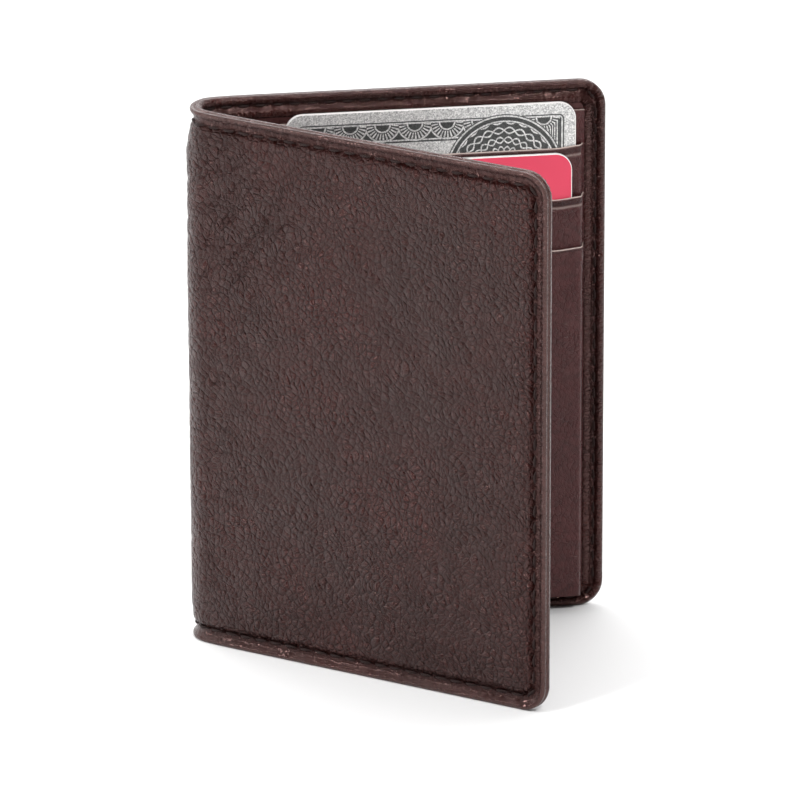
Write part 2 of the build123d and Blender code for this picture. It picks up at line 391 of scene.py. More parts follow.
def lining(side):
    """Inner leather from the middle of the spine to under the hem."""
    inset = 3.4
    columns, rows = 96, 120
    sheet, lattice = bench_grid(f"{side}_lining_skin", columns, rows)
    places = []
    for column, row in lattice:
        x = (SHEET - inset) * column / columns
        y = inset + (HEIGHT - 2 * inset) * row / rows
        ripple = noise.noise(Vector((x / 2.2, y / 15.0, 21.0))) * hill(x, 9.0)
        slow = noise.noise(Vector((x / 18.0, y / 20.0, 31.0)))
        places.append((x, y, LINING_LIFT + SKIN / 2 - 0.1 * ripple - 0.05 * slow))
    sign = -1 if side == BACK else 1
    lay_pattern(sheet, "cut", [(sign * x, y) for x, y, _ in places])
    return make_sheet(sheet, places, SKIN, -1, side)


def pocket_lift(u, face_depth):
    """Lift of a pocket's face at u: flat over the cards, pressed down at the seam and under the hem."""
    flat_start, flat_end = 15.0, 71.0
    left = smooth_step(u, POCKET_START, flat_start)
    right = smooth_step(u, flat_end, POCKET_END + 0.1)
    lift = -(SEAM_DEPTH + (face_depth - SEAM_DEPTH) * left)
    return lift - (UNDER_HEM_DEPTH + lift) * right


def thumb_dip(u):
    """Drop of the slip pocket's mouth round its middle."""
    middle = (POCKET_START + POCKET_END) / 2
    share = min(abs(u - middle) / THUMB_DIP_HALF_WIDTH, 1.0)
    return THUMB_DIP_DEPTH * math.cos(share * math.pi / 2) ** 2


def pocket_sheet(name, mouth, bottom, face_depth, dip=None, lip=0.2, side=BACK, side_step=True):
    """Leather pocket face with a turned lip at its mouth and a crease line below it.

    Its vertices are marked with a painted highlight (lip and crease line) and painted shade (the band between
    the two).
    """
    stations, lip_span, columns = 1200, 6.0, 160
    section, unrolled = through(
        [
            (bottom, 0.0),
            (mouth - lip_span, 0.0),
            (mouth - 2.6, 0.0),
            (mouth - 2.05, -0.05),
            (mouth - 1.75, 0.15),
            (mouth - 1.25, 0.1),
            (mouth - 0.7, -0.6 * lip),
            (mouth - 0.18, -lip),
            (mouth, 0.12),
            (mouth - 0.3, 0.38),
            (mouth - 5.0, 0.4),
        ],
        stations,
    )
    lip_start = np.searchsorted(section[:, 0], mouth - lip_span)
    lip_top = unrolled[np.argmax(section[:, 0])]
    face_rows = np.linspace(0, lip_start, 40, endpoint=False)
    lip_rows = np.linspace(lip_start, stations, 111)
    kept = np.concatenate([face_rows, lip_rows]).round().astype(int)
    sheet, lattice = bench_grid(name, columns, len(kept) - 1)
    places, cut, painted_highlight, painted_hollow_shade = [], [], [], []
    for column, row in lattice:
        share = column / columns
        u = POCKET_START + (POCKET_END - POCKET_START) * share
        (y, extra), rolled = section[kept[row]], unrolled[kept[row]]
        lift = pocket_lift(u, face_depth) if side_step else -face_depth
        from_mouth = smooth_step(rolled, 0.0, unrolled[-1] * 0.6)
        if dip:
            y -= dip(u) * from_mouth
        if side_step:
            y += 0.5 * smooth_step(u, 66.0, POCKET_END) * from_mouth
        soft = noise.noise(Vector((u / 16.0, y / 14.0, face_depth)))
        fine = noise.noise(Vector((u / 4.0, y / 1.4, 2 * face_depth)))
        lift += extra - 0.05 * soft - 0.015 * fine
        places.append((u - TANGENT + ARC, y, lift))
        cut.append((u, rolled + bottom))
        below = lip_top - rolled
        # painted highlight: the lip's crest and the crease line below it are marked to be lightened
        painted_highlight.append(hill(below - 0.1, 0.2) + 0.35 * hill(below - 2.05, 0.22))
        # painted shade: the band between the lip and the crease line is marked to be darkened
        painted_hollow_shade.append(smooth_step(below, 0.3, 0.55) - smooth_step(below, 1.5, 1.9))
    mark(sheet, "painted_highlight", painted_highlight)
    mark(sheet, "painted_hollow_shade", painted_hollow_shade)
    lay_pattern(sheet, "cut", cut)
    return make_sheet(sheet, places, 0.2, 1, side)


def cover_board(side):
    """Fibre board between the leather and the lining, clear of the fold and of the stitch groove."""
    columns, rows, margin = 24, 40, 3.7
    sheet, lattice = bench_grid(f"{side}_board", columns, rows)
    start, end = ARC + 3.5, SHEET - margin
    places = [
        (
            start + (end - start) * column / columns,
            margin + (HEIGHT - 2 * margin) * row / rows,
            -1.05,
        )
        for column, row in lattice
    ]
    return make_sheet(sheet, places, 0.25, 0, side)


def divider(node, face_depth):
    """Cloth divider that hangs behind a pocket's face and follows it down to the seam."""
    low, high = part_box(node)
    top, bottom = high.z / MM, low.z / MM
    columns, rows, start, width, behind = 120, 40, 10.2, 61.0, 0.3
    sheet, lattice = bench_grid(f"{node}_cloth", columns, rows)
    places = []
    for column, row in lattice:
        u = start + width * column / columns
        y = bottom + (top - bottom) * row / rows
        places.append((u - TANGENT + ARC, y, pocket_lift(u, face_depth) + behind))
    return make_sheet(sheet, places, 0.1, 0, BACK)


def stitch_model():
    """One stitch on the bench: a plump thread that dives into the leather at both ends."""
    length, width, height, dive = 2.7, 0.58, 0.5, 1.1
    bpy.ops.object.select_all(action="DESELECT")
    bpy.ops.mesh.primitive_uv_sphere_add(segments=10, ring_count=8, radius=0.5, rotation=(0, math.pi / 2, 0))
    model = bpy.context.object
    bpy.ops.object.transform_apply(location=False, rotation=True, scale=False)
    points = read_points(model)
    fullness = (1 - (2 * points[:, 0]) ** 4).clip(0.15, 1)
    points[:, 1] *= width * fullness
    points[:, 2] = points[:, 2] * height * fullness - dive * points[:, 0] ** 2
    points[:, 0] *= length
    write_points(model, points)
    return model


def edge_path(share, inset):
    """Place and heading on a stitch line, from the top of the spine (share 0) to its bottom (share 1)."""
    bend = BEND_RADIUS * math.pi / 2
    straight, tall = SHEET - CORNER, HEIGHT - 2 * CORNER
    distance = share * STITCH_RUN
    radius = CORNER - inset
    if distance < straight:
        return distance, HEIGHT - inset, 0.0
    distance -= straight
    if distance < bend:
        turn = distance / BEND_RADIUS
        return straight + radius * math.sin(turn), HEIGHT - CORNER + radius * math.cos(turn), -turn
    distance -= bend
    if distance < tall:
        return SHEET - inset, HEIGHT - CORNER - distance, -math.pi / 2
    distance -= tall
    if distance < bend:
        turn = distance / BEND_RADIUS
        return straight + radius * math.cos(turn), CORNER - radius * math.sin(turn), -math.pi / 2 - turn
    distance -= bend
    return straight - distance, inset, -math.pi


def sew(name, spots, side):
    """Copies one stitch to each spot (x, y, lift, heading, faces inwards) and joins them."""
    model = stitch_model()
    shape = read_points(model)
    copies = []
    for x, y, lift, heading, inward in spots:
        copy = model.copy()
        copy.data = model.data.copy()
        bpy.context.collection.objects.link(copy)
        turn = heading + random.uniform(-0.05, 0.05)
        up = -1 if inward else 1
        laid = np.column_stack(
            [
                x + shape[:, 0] * math.cos(turn) - shape[:, 1] * math.sin(turn) * up,
                y + shape[:, 0] * math.sin(turn) + shape[:, 1] * math.cos(turn) * up,
                lift + shape[:, 2] * up,
            ]
        )
        write_points(copy, laid)
        copies.append(copy)
    bpy.data.objects.remove(model)
    pick(*copies)
    bpy.ops.object.join()
    thread = bpy.context.object
    thread.name = name
    fold_piece(thread, side)
    return thread


def edge_stitching(side):
    """Stitches round a cover, on the outer face and on the hem."""
    outer_lift, hem_lift = -0.42, HEM_INNER_CREST[side] + 0.6
    spots = []
    for index in range(STITCH_COUNT):
        share = (index + 0.5) / STITCH_COUNT
        x, y, heading = edge_path(share, STITCH_INSET)
        pinch = fold_pinch(x, y)
        spots.append((x, y, outer_lift + belly(x, y) - pinch, heading, False))
        x, y, heading = edge_path(share, HEM_STITCH_INSET)
        spots.append((x, y, hem_lift - pinch, heading, True))
    return sew(f"{side}_edge_thread", spots, side)


def seam_stitching(name, side, steps):
    """Upright seam at the fold side of a pocket block; steps are (top, bottom, face depth)."""
    u = POCKET_SEAM
    spots = []
    for top, bottom, face_depth in steps:
        count = max(round((top - bottom) / STITCH_PITCH), 1)
        lift = pocket_lift(u, face_depth) if side == BACK else -face_depth
        for index in range(count):
            y = top - (index + 0.5) * (top - bottom) / count
            spots.append((u - TANGENT + ARC, y, lift - 0.05, math.pi / 2, True))
    return sew(name, spots, side)


# -------- cards

def select_parts(piece, kind, wanted):
    """Opens a piece for editing with its edges or faces that pass a test selected."""
    bpy.ops.object.mode_set(mode="EDIT")
    bpy.ops.mesh.select_mode(type=kind)
    bpy.ops.mesh.select_all(action="DESELECT")
    bpy.ops.object.mode_set(mode="OBJECT")
    for part in piece.data.edges if kind == "EDGE" else piece.data.polygons:
        part.select = wanted(part)
    bpy.ops.object.mode_set(mode="EDIT")


def runs_through(piece, edge):
    """Whether an edge runs through a plate's thickness."""
    start, end = (piece.data.vertices[index].co for index in edge.vertices)
    return abs(start.y - end.y) > abs(start.x - end.x) + abs(start.z - end.z)


def rounded_block(name, centre, size, corner, segments):
    """Block in metres whose corners are rounded through its thickness."""
    bpy.ops.object.select_all(action="DESELECT")
    bpy.ops.mesh.primitive_cube_add(size=1, location=centre, scale=size)
    block = bpy.context.object
    block.name = name
    bpy.ops.object.transform_apply(location=True, rotation=False, scale=True)
    select_parts(block, "EDGE", lambda edge: runs_through(block, edge))
    bpy.ops.mesh.bevel(offset=corner * MM, segments=segments, affect="EDGES")
    bpy.ops.object.mode_set(mode="OBJECT")
    return block


def soften_rims(piece, width):
    """Rounds a plate's sharp rims by a width in millimetres."""
    apply_modifier(piece, "BEVEL", width=width * MM, segments=2, limit_method="ANGLE")


def card(body, node):
    """Laminated card over its frame node: white core with printed faces inside a thin bare edge."""
    bare_edge, rim = 0.14, 0.07
    low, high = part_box(node)
    piece = rounded_block(f"{body}_laminate", (low + high) / 2, high - low, CARD_CORNER, 12)
    select_parts(piece, "FACE", lambda face: abs(face.normal.y) > 0.9)
    bpy.ops.mesh.inset(thickness=bare_edge * MM, use_individual=True)
    bpy.ops.object.mode_set(mode="OBJECT")
    for face in piece.data.polygons:
        face.material_index = int(face.select)
    soften_rims(piece, rim)
    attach(piece, body)
    return piece


def rounded_plate(name, centre, size, corner, rim):
    """Small plate with rounded corners and softened rims; size is along x, y and z in millimetres."""
    plate = rounded_block(name, Vector(centre) * MM, Vector(size) * MM, corner, 6)
    soften_rims(plate, rim)
    return plate


def chip(body, node):
    """Contact chip: a gold plate that carries two columns of pads round a middle pad."""
    low, high = (np.array(corner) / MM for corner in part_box(node))
    middle, size = (low + high) / 2, high - low
    proud = 0.02
    plates = [rounded_plate(f"{body}_contacts", middle + [0, -proud, 0], size, 1.2, 0.04)]
    pad_x, pad_z = 0.30 * size[0], 0.27 * size[2]
    for column in (-1, 1):
        for row in (-1, 0, 1):
            place = middle + [column * 0.32 * size[0], -size[1] / 2 - proud, row * 0.32 * size[2]]
            plates.append(rounded_plate("pad", place, (pad_x, 0.05, pad_z), 0.35, 0.015))
    place = middle + [0, -size[1] / 2 - proud, 0]
    plates.append(rounded_plate("pad", place, (0.26 * size[0], 0.05, 0.86 * size[2]), 0.5, 0.015))
    pick(*plates)
    bpy.ops.object.join()
    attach(plates[0], body)
    return plates[0]


# -------- node groups and materials

def rgb(red, green, blue):
    """Linear colour of a display colour given in 0 to 255."""
    def linear(value):
        value /= 255
        return value / 12.92 if value <= 0.04045 else ((value + 0.055) / 1.055) ** 2.4
    return linear(red), linear(green), linear(blue), 1.0


def add(tree, kind, inputs=(), **settings):
    """Node of a kind with its settings and inputs; an input is a value or another node's socket."""
    node = tree.nodes.new("ShaderNode" + kind)
    for key, value in settings.items():
        setattr(node, key, value)
    for key, value in dict(inputs).items():
        if isinstance(value, bpy.types.NodeSocket):
            tree.links.new(value, node.inputs[key])
        else:
            node.inputs[key].default_value = value
    return node


def vertex_mark(tree, name):
    """Number that a piece's vertices carry under this name."""
    return add(tree, "Attribute", attribute_name=name).outputs["Fac"]


def sums(tree, operation, first, second=0.0, third=0.0):
    """Result socket of one math step."""
    inputs = {0: first, 1: second, 2: third}
    return add(tree, "Math", inputs, operation=operation).outputs[0]


def remap(tree, value, low, high, to_low=0.0, to_high=1.0):
    """Smoothly maps low..high to to_low..to_high."""
    inputs = {"Value": value, "From Min": low, "From Max": high, "To Min": to_low, "To Max": to_high}
    return add(tree, "MapRange", inputs, interpolation_type="SMOOTHSTEP").outputs["Result"]


def diagonal(tree, first, second):
    """Square root of the sum of two squares."""
    squares = [sums(tree, "POWER", value, 2.0) for value in (first, second)]
    return sums(tree, "SQRT", sums(tree, "ADD", *squares))


def mix_colour(tree, share, first, second):
    """Colour between two, by share."""
    return add(tree, "Mix", {0: share, 6: first, 7: second}, data_type="RGBA").outputs[2]


def new_group(name, inputs, outputs):
    """Empty node group with named sockets; returns its tree and its group input and output nodes."""
    tree = bpy.data.node_groups.new(name, "ShaderNodeTree")
    for label, kind, value in inputs:
        socket = tree.interface.new_socket(label, in_out="INPUT", socket_type="NodeSocket" + kind)
        if value is not None:
            socket.default_value = value
    for label, kind in outputs:
        tree.interface.new_socket(label, in_out="OUTPUT", socket_type="NodeSocket" + kind)
    return tree, tree.nodes.new("NodeGroupInput"), tree.nodes.new("NodeGroupOutput")


def pebble_group():
    """Pebbled grain on a flat cut in millimetres: rounded cells parted by creases."""
    inputs = [("Place", "Vector", None), ("Cell", "Float", 1.0), ("Drawn", "Float", 1.0)]
    tree, given, result = new_group("pebbled grain", inputs, [("Height", "Float"), ("Crease Shade", "Float")])
    place = given.outputs["Place"]
    size = given.outputs["Cell"]
    sway = add(tree, "TexNoise", {"Vector": place, "Scale": 0.16, "Detail": 2.0})
    sway = add(tree, "VectorMath", {0: sway.outputs["Color"], 1: (0.5, 0.5, 0.5)}, operation="SUBTRACT")
    sway = add(tree, "VectorMath", {0: sway.outputs[0], "Scale": 4.0}, operation="SCALE")
    moved = add(tree, "VectorMath", {0: place, 1: sway.outputs[0]}, operation="ADD")
    shaken = add(tree, "TexNoise", {"Vector": place, "Scale": 1.1, "Detail": 2.0})
    shaken = add(tree, "VectorMath", {0: shaken.outputs["Color"], "Scale": 0.4}, operation="SCALE")
    moved = add(tree, "VectorMath", {0: moved.outputs[0], 1: shaken.outputs[0]}, operation="ADD")
    slant = {"Vector": moved.outputs[0], "Rotation": (0, 0, 0.5), "Scale": (1, 0.74, 1)}
    turned = add(tree, "Mapping", slant)
    creases, domes = [], []
    for ratio in (1.0, 2.3):
        scale = sums(tree, "DIVIDE", ratio, size)
        for feature, kept in (("DISTANCE_TO_EDGE", creases), ("F1", domes)):
            cells = add(
                tree,
                "TexVoronoi",
                {"Vector": turned.outputs[0], "Scale": scale, "Randomness": 0.9},
                voronoi_dimensions="2D",
                feature=feature,
            )
            kept.append(cells.outputs["Distance"])
    patchy = add(tree, "TexNoise", {"Vector": place, "Scale": 0.2, "Detail": 2.0})
    share = remap(tree, patchy.outputs["Fac"], 0.36, 0.64, 0.55, 1.0)
    share = sums(tree, "MULTIPLY", share, given.outputs["Drawn"])
    valley = remap(tree, creases[0], 0.0, 0.16)
    dome = sums(tree, "SUBTRACT", 1.0, sums(tree, "POWER", domes[0], 2.0))
    pebble = sums(tree, "MULTIPLY", sums(tree, "MULTIPLY_ADD", valley, 0.55, dome), share)
    fine = sums(tree, "MULTIPLY", remap(tree, creases[1], 0.0, 0.25), 0.14)
    pores = add(tree, "TexNoise", {"Vector": place, "Scale": 5.0, "Detail": 3.0})
    height = sums(tree, "ADD", pebble, sums(tree, "MULTIPLY_ADD", pores.outputs[0], 0.08, fine))
    tree.links.new(height, result.inputs["Height"])
    # the creases as a mask, used only for painted shade in the hide tone
    crease_shade = sums(tree, "MULTIPLY", sums(tree, "SUBTRACT", 1.0, valley), share)
    tree.links.new(crease_shade, result.inputs["Crease Shade"])
    return tree


def hem_group():
    """Fine wrinkles across a turned edge, from its run along and across the edge in millimetres."""
    inputs = [("Place", "Vector", None), ("Spacing", "Float", 1.0)]
    tree, given, result = new_group("hem wrinkles", inputs, [("Height", "Float")])
    scale = sums(tree, "DIVIDE", 1.0, given.outputs["Spacing"])
    stretched = add(tree, "Mapping", {"Vector": given.outputs["Place"], "Scale": (1.0, 0.33, 1.0)})
    waves = {"Vector": stretched.outputs[0], "Scale": scale, "Detail": 4.0, "Distortion": 0.5}
    broad = add(tree, "TexNoise", waves)
    ridge = sums(tree, "ABSOLUTE", sums(tree, "SUBTRACT", broad.outputs[0], 0.5))
    ridge = remap(tree, ridge, 0.0, 0.09)
    lumps = add(tree, "TexNoise", {"Vector": given.outputs["Place"], "Scale": 1.6, "Detail": 2.0})
    height = sums(tree, "ADD", sums(tree, "MULTIPLY", ridge, 0.6), lumps.outputs[0])
    tree.links.new(height, result.inputs["Height"])
    return tree


def tone_group():
    """Slow mottling of a hide between a darker and a lighter tone, with painted shade darkening the creases.
    """
    inputs = [
        ("Place", "Vector", None),
        ("Crease Shade", "Float", 0.0),
        ("Deep", "Color", (0.02, 0.01, 0.01, 1)),
        ("Body", "Color", (0.05, 0.03, 0.03, 1)),
        ("Warm", "Color", (0.07, 0.03, 0.03, 1)),
    ]
    tree, given, result = new_group("hide tone", inputs, [("Color", "Color"), ("Mottle", "Float")])
    cloud = add(tree, "TexNoise", {"Vector": given.outputs["Place"], "Scale": 0.045, "Detail": 4.0})
    cloud = remap(tree, cloud.outputs[0], 0.35, 0.68)
    fine = add(tree, "TexNoise", {"Vector": given.outputs["Place"], "Scale": 0.7, "Detail": 3.0})
    base = mix_colour(tree, cloud, given.outputs["Body"], given.outputs["Warm"])
    shade = sums(tree, "MULTIPLY", remap(tree, fine.outputs[0], 0.3, 0.75), 0.4)
    base = mix_colour(tree, shade, base, given.outputs["Deep"])
    # painted shade: the creases are mixed towards the deep tone
    crease_shade = sums(tree, "MULTIPLY", given.outputs["Crease Shade"], 0.5)
    base = mix_colour(tree, crease_shade, base, given.outputs["Deep"])
    tree.links.new(base, result.inputs["Color"])
    tree.links.new(cloud, result.inputs["Mottle"])
    return tree


GROUPS = {"pebbles": pebble_group(), "hem": hem_group(), "tone": tone_group()}


def use(tree, name, inputs):
    """Places a shared group in a material."""
    return add(tree, "Group", inputs, node_tree=GROUPS[name])


def new_material(name, **constants):
    """Material with a Principled shader and its constants; returns the material, its tree and the shader."""
    material = bpy.data.materials.new(name)
    material.use_nodes = True
    shader = material.node_tree.nodes["Principled BSDF"]
    for key, value in constants.items():
        shader.inputs[key.replace("_", " ")].default_value = value
    return material, material.node_tree, shader


def finish_surface(tree, shader, colour, roughness, height, strength, depth_mm):
    """Feeds the shader's colour, roughness and bump."""
    bump = add(tree, "Bump", {"Height": height, "Strength": strength, "Distance": depth_mm * MM})
    tree.links.new(colour, shader.inputs["Base Color"])
    tree.links.new(roughness, shader.inputs["Roughness"])
    tree.links.new(bump.outputs[0], shader.inputs["Normal"])


def outer_leather():
    """Dark brown pebbled hide, drawn smooth and glossy where it turns over the edges."""
    material, tree, shader = new_material("outer leather", Specular_IOR_Level=0.5)
    shader.inputs["Specular Tint"].default_value = (1.0, 0.6, 0.56, 1.0)
    cut = add(tree, "UVMap", uv_map="cut").outputs[0]
    edge = add(tree, "UVMap", uv_map="edge").outputs[0]
    turned = vertex_mark(tree, "turned")
    grain = use(tree, "pebbles", {"Place": cut, "Cell": 1.0, "Drawn": 1.0})
    hem = use(tree, "hem", {"Place": edge, "Spacing": 0.75})
    keep = sums(tree, "SUBTRACT", 1.0, turned)
    height = sums(tree, "MULTIPLY", grain.outputs["Height"], keep)
    height = sums(tree, "MULTIPLY_ADD", hem.outputs["Height"], sums(tree, "MULTIPLY", turned, 0.17), height)
    crease_shade = sums(tree, "MULTIPLY", grain.outputs["Crease Shade"], keep)
    # painted shade: the grain's creases, the stitched bands and the hem's stitch valley darken the colour
    crease_shade = sums(tree, "MAXIMUM", crease_shade, vertex_mark(tree, "painted_hollow_shade"))
    shades = {"Deep": rgb(10, 3, 2), "Body": rgb(34, 13, 11), "Warm": rgb(48, 19, 17)}
    tone = use(tree, "tone", {"Place": cut, "Crease Shade": crease_shade, **shades})
    # painted highlight: the rim's crest is mixed towards a light grey brown
    painted_highlight = sums(tree, "MULTIPLY", vertex_mark(tree, "painted_highlight"), 0.2)
    colour = mix_colour(tree, painted_highlight, tone.outputs["Color"], rgb(138, 124, 120))
    rough = remap(tree, tone.outputs["Mottle"], 0.0, 1.0, 0.15, 0.2)
    rough = sums(tree, "MULTIPLY_ADD", turned, -0.05, rough)
    finish_surface(tree, shader, colour, rough, height, 1.0, 1.0)
    return material


def inner_leather(name, body, warm, drawn, gloss):
    """Smooth reddish brown hide for lining and pockets, with faint grain."""
    material, tree, shader = new_material(name, Specular_IOR_Level=0.4)
    shader.inputs["Specular Tint"].default_value = (1.0, 0.78, 0.76, 1.0)
    cut = add(tree, "UVMap", uv_map="cut").outputs[0]
    grain = use(tree, "pebbles", {"Place": cut, "Cell": 0.8, "Drawn": drawn})
    # painted shade: the grain's creases and the band under a pocket's lip darken the colour
    crease_shade = sums(tree, "MAXIMUM", grain.outputs["Crease Shade"], vertex_mark(tree, "painted_hollow_shade"))
    shades = {"Deep": rgb(22, 8, 8), "Body": body, "Warm": warm}
    tone = use(tree, "tone", {"Place": cut, "Crease Shade": crease_shade, **shades})
    # painted highlight: a pocket's lip and crease line are mixed towards a near white
    painted_highlight = sums(tree, "MULTIPLY", vertex_mark(tree, "painted_highlight"), 0.8)
    colour = mix_colour(tree, painted_highlight, tone.outputs["Color"], rgb(215, 198, 190))
    rough = remap(tree, tone.outputs["Mottle"], 0.0, 1.0, gloss, gloss + 0.08)
    finish_surface(tree, shader, colour, rough, grain.outputs["Height"], 0.9, 0.22)
    return material


def thread():
    """Waxed dark brown thread with a tight twist along each stitch; its colour holds painted shade in the
    grooves between the plies.
    """
    material, tree, shader = new_material("waxed thread", Specular_IOR_Level=0.15)
    around = add(tree, "SeparateXYZ", {0: add(tree, "UVMap", uv_map="UVMap").outputs[0]})
    round_thread = sums(tree, "MULTIPLY", around.outputs["X"], 12.6)
    twist = sums(tree, "MULTIPLY_ADD", around.outputs["Y"], 26.0, round_thread)
    ply_ridges_and_groove_shade = sums(tree, "ABSOLUTE", sums(tree, "SINE", twist))
    # painted shade: darker colour in the grooves of the twist
    colour = mix_colour(tree, ply_ridges_and_groove_shade, rgb(12, 7, 6), rgb(40, 25, 23))
    rough = remap(tree, ply_ridges_and_groove_shade, 0.0, 1.0, 0.55, 0.38)
    finish_surface(tree, shader, colour, rough, ply_ridges_and_groove_shade, 0.6, 0.05)
    return material


def bare_core():
    """White card core, barely matt, seen along a card's cut edge."""
    material, tree, shader = new_material("card core", Specular_IOR_Level=0.5)
    place = add(tree, "TexCoord").outputs["Object"]
    fleck = add(tree, "TexNoise", {"Vector": place, "Scale": 2600.0, "Detail": 2.0}).outputs[0]
    colour = mix_colour(tree, fleck, rgb(226, 222, 220), rgb(250, 248, 247))
    finish_surface(tree, shader, colour, remap(tree, fleck, 0.3, 0.7, 0.35, 0.5), fleck, 0.1, 0.02)
    return material


def red_print():
    """Flat warm pink-red print under a satin laminate."""
    material, tree, shader = new_material("red print", Specular_IOR_Level=0.5)
    place = add(tree, "TexCoord").outputs["Object"]
    mist = add(tree, "TexNoise", {"Vector": place, "Scale": 60.0, "Detail": 2.0}).outputs[0]
    skin = add(tree, "TexNoise", {"Vector": place, "Scale": 3500.0, "Detail": 2.0}).outputs[0]
    colour = mix_colour(tree, mist, rgb(214, 50, 82), rgb(220, 57, 88))
    finish_surface(tree, shader, colour, remap(tree, skin, 0.3, 0.7, 0.3, 0.42), skin, 0.06, 0.01)
    return material


def framed_print(centre, half_size):
    """Silver print: sparkling ground, scalloped border in fine line work and a rosette in one corner."""
    material, tree, shader = new_material("silver print", Specular_IOR_Level=0.5)
    place = add(tree, "TexCoord").outputs["Object"]
    centred = add(tree, "VectorMath", {0: place, 1: -centre}, operation="ADD").outputs[0]
    in_mm = add(tree, "VectorMath", {0: centred, "Scale": 1 / MM}, operation="SCALE").outputs[0]
    axes = add(tree, "SeparateXYZ", {0: in_mm})
    across, up = axes.outputs["X"], axes.outputs["Z"]
    reach_x = sums(tree, "SUBTRACT", sums(tree, "ABSOLUTE", across), half_size[0] - CARD_CORNER)
    reach_z = sums(tree, "SUBTRACT", sums(tree, "ABSOLUTE", up), half_size[1] - CARD_CORNER)
    past = [sums(tree, "MAXIMUM", reach, 0.0) for reach in (reach_x, reach_z)]
    within = sums(tree, "MINIMUM", sums(tree, "MAXIMUM", reach_x, reach_z), 0.0)
    inset = sums(tree, "SUBTRACT", CARD_CORNER, sums(tree, "ADD", diagonal(tree, *past), within))

    def line(value, at, width):
        """1 within half a width of a value, with a soft edge."""
        away = sums(tree, "ABSOLUTE", sums(tree, "SUBTRACT", value, at))
        return remap(tree, away, width / 2, width / 2 + 0.08, 1.0, 0.0)

    def band(value, low, high):
        """1 between two values."""
        rise = remap(tree, value, low, low + 0.06)
        fall = remap(tree, value, high - 0.06, high, 1.0, 0.0)
        return sums(tree, "MULTIPLY", rise, fall)

    border_start, border_end, fan_pitch = 2.7, 6.3, 6.0
    border = band(inset, border_start, border_end)
    cell = sums(tree, "FLOORED_MODULO", across, fan_pitch)
    cell = sums(tree, "SUBTRACT", cell, fan_pitch / 2)
    depth = sums(tree, "SUBTRACT", inset, border_start)
    fan = diagonal(tree, cell, depth)
    spokes = sums(tree, "SINE", sums(tree, "MULTIPLY", sums(tree, "ARCTAN2", cell, depth), 26.0))
    spokes = sums(tree, "MULTIPLY", remap(tree, spokes, -0.1, 0.3), band(fan, 1.7, 3.0))
    rings = sums(tree, "MAXIMUM", line(fan, 1.4, 0.22), line(fan, 3.2, 0.22))
    light = sums(tree, "MAXIMUM", sums(tree, "MAXIMUM", spokes, rings), line(inset, 5.8, 0.2))
    border_ink = sums(tree, "MULTIPLY", border, sums(tree, "SUBTRACT", 1.0, light))
    outline = line(inset, 2.3, 0.16)

    from_side, from_top, petal_count = 13.4, 12.7, 12.0
    rosette_x = sums(tree, "SUBTRACT", across, half_size[0] - from_side)
    rosette_z = sums(tree, "SUBTRACT", up, half_size[1] - from_top)
    radius = diagonal(tree, rosette_x, rosette_z)
    bearing = sums(tree, "ARCTAN2", rosette_z, rosette_x)
    disc = remap(tree, radius, 10.9, 11.0, 1.0, 0.0)
    petals = sums(tree, "SINE", sums(tree, "MULTIPLY", bearing, petal_count))
    rounds = sums(tree, "MULTIPLY", radius, 3.4)
    swing = sums(tree, "MULTIPLY", petals, 1.9)
    laces = []
    for way in ("ADD", "SUBTRACT"):
        lace = sums(tree, "SINE", sums(tree, way, rounds, swing))
        laces.append(remap(tree, lace, 0.78, 0.95))
    weave = sums(tree, "MULTIPLY", sums(tree, "MAXIMUM", *laces), remap(tree, radius, 9.3, 9.4, 1.0, 0.0))
    rims = sums(tree, "MAXIMUM", line(radius, 9.6, 0.2), line(radius, 10.6, 0.22))
    weave = sums(tree, "MAXIMUM", weave, rims)
    rosette_ink = sums(tree, "MULTIPLY", disc, sums(tree, "SUBTRACT", 1.0, weave))
    ground_ink = sums(tree, "MAXIMUM", border_ink, outline)
    ground_ink = sums(tree, "MULTIPLY", ground_ink, sums(tree, "SUBTRACT", 1.0, disc))
    ink = sums(tree, "MAXIMUM", ground_ink, rosette_ink)

    sparkle = add(tree, "TexVoronoi", {"Vector": in_mm, "Scale": 5.0, "Randomness": 1.0})
    glint = add(tree, "SeparateColor", {0: sparkle.outputs["Color"]}).outputs["Red"]
    silver = mix_colour(tree, glint, rgb(150, 150, 150), rgb(232, 231, 229))
    dark = mix_colour(tree, glint, rgb(30, 31, 31), rgb(66, 67, 66))
    colour = mix_colour(tree, ink, silver, dark)
    rough = remap(tree, glint, 0.0, 1.0, 0.5, 0.28)
    finish_surface(tree, shader, colour, rough, glint, 0.12, 0.02)
    bare_metal = sums(tree, "MULTIPLY", sums(tree, "SUBTRACT", 1.0, ink), 0.35)
    tree.links.new(bare_metal, shader.inputs["Metallic"])
    return material


def gold_contact():
    """Thin gold plating with faint rubbing."""
    material, tree, shader = new_material("gold contact", Metallic=1.0)
    place = add(tree, "TexCoord").outputs["Object"]
    rub = add(tree, "TexNoise", {"Vector": place, "Scale": 900.0, "Detail": 3.0}).outputs[0]
    colour = mix_colour(tree, rub, rgb(190, 150, 84), rgb(226, 192, 122))
    finish_surface(tree, shader, colour, remap(tree, rub, 0.3, 0.7, 0.22, 0.4), rub, 0.1, 0.01)
    return material


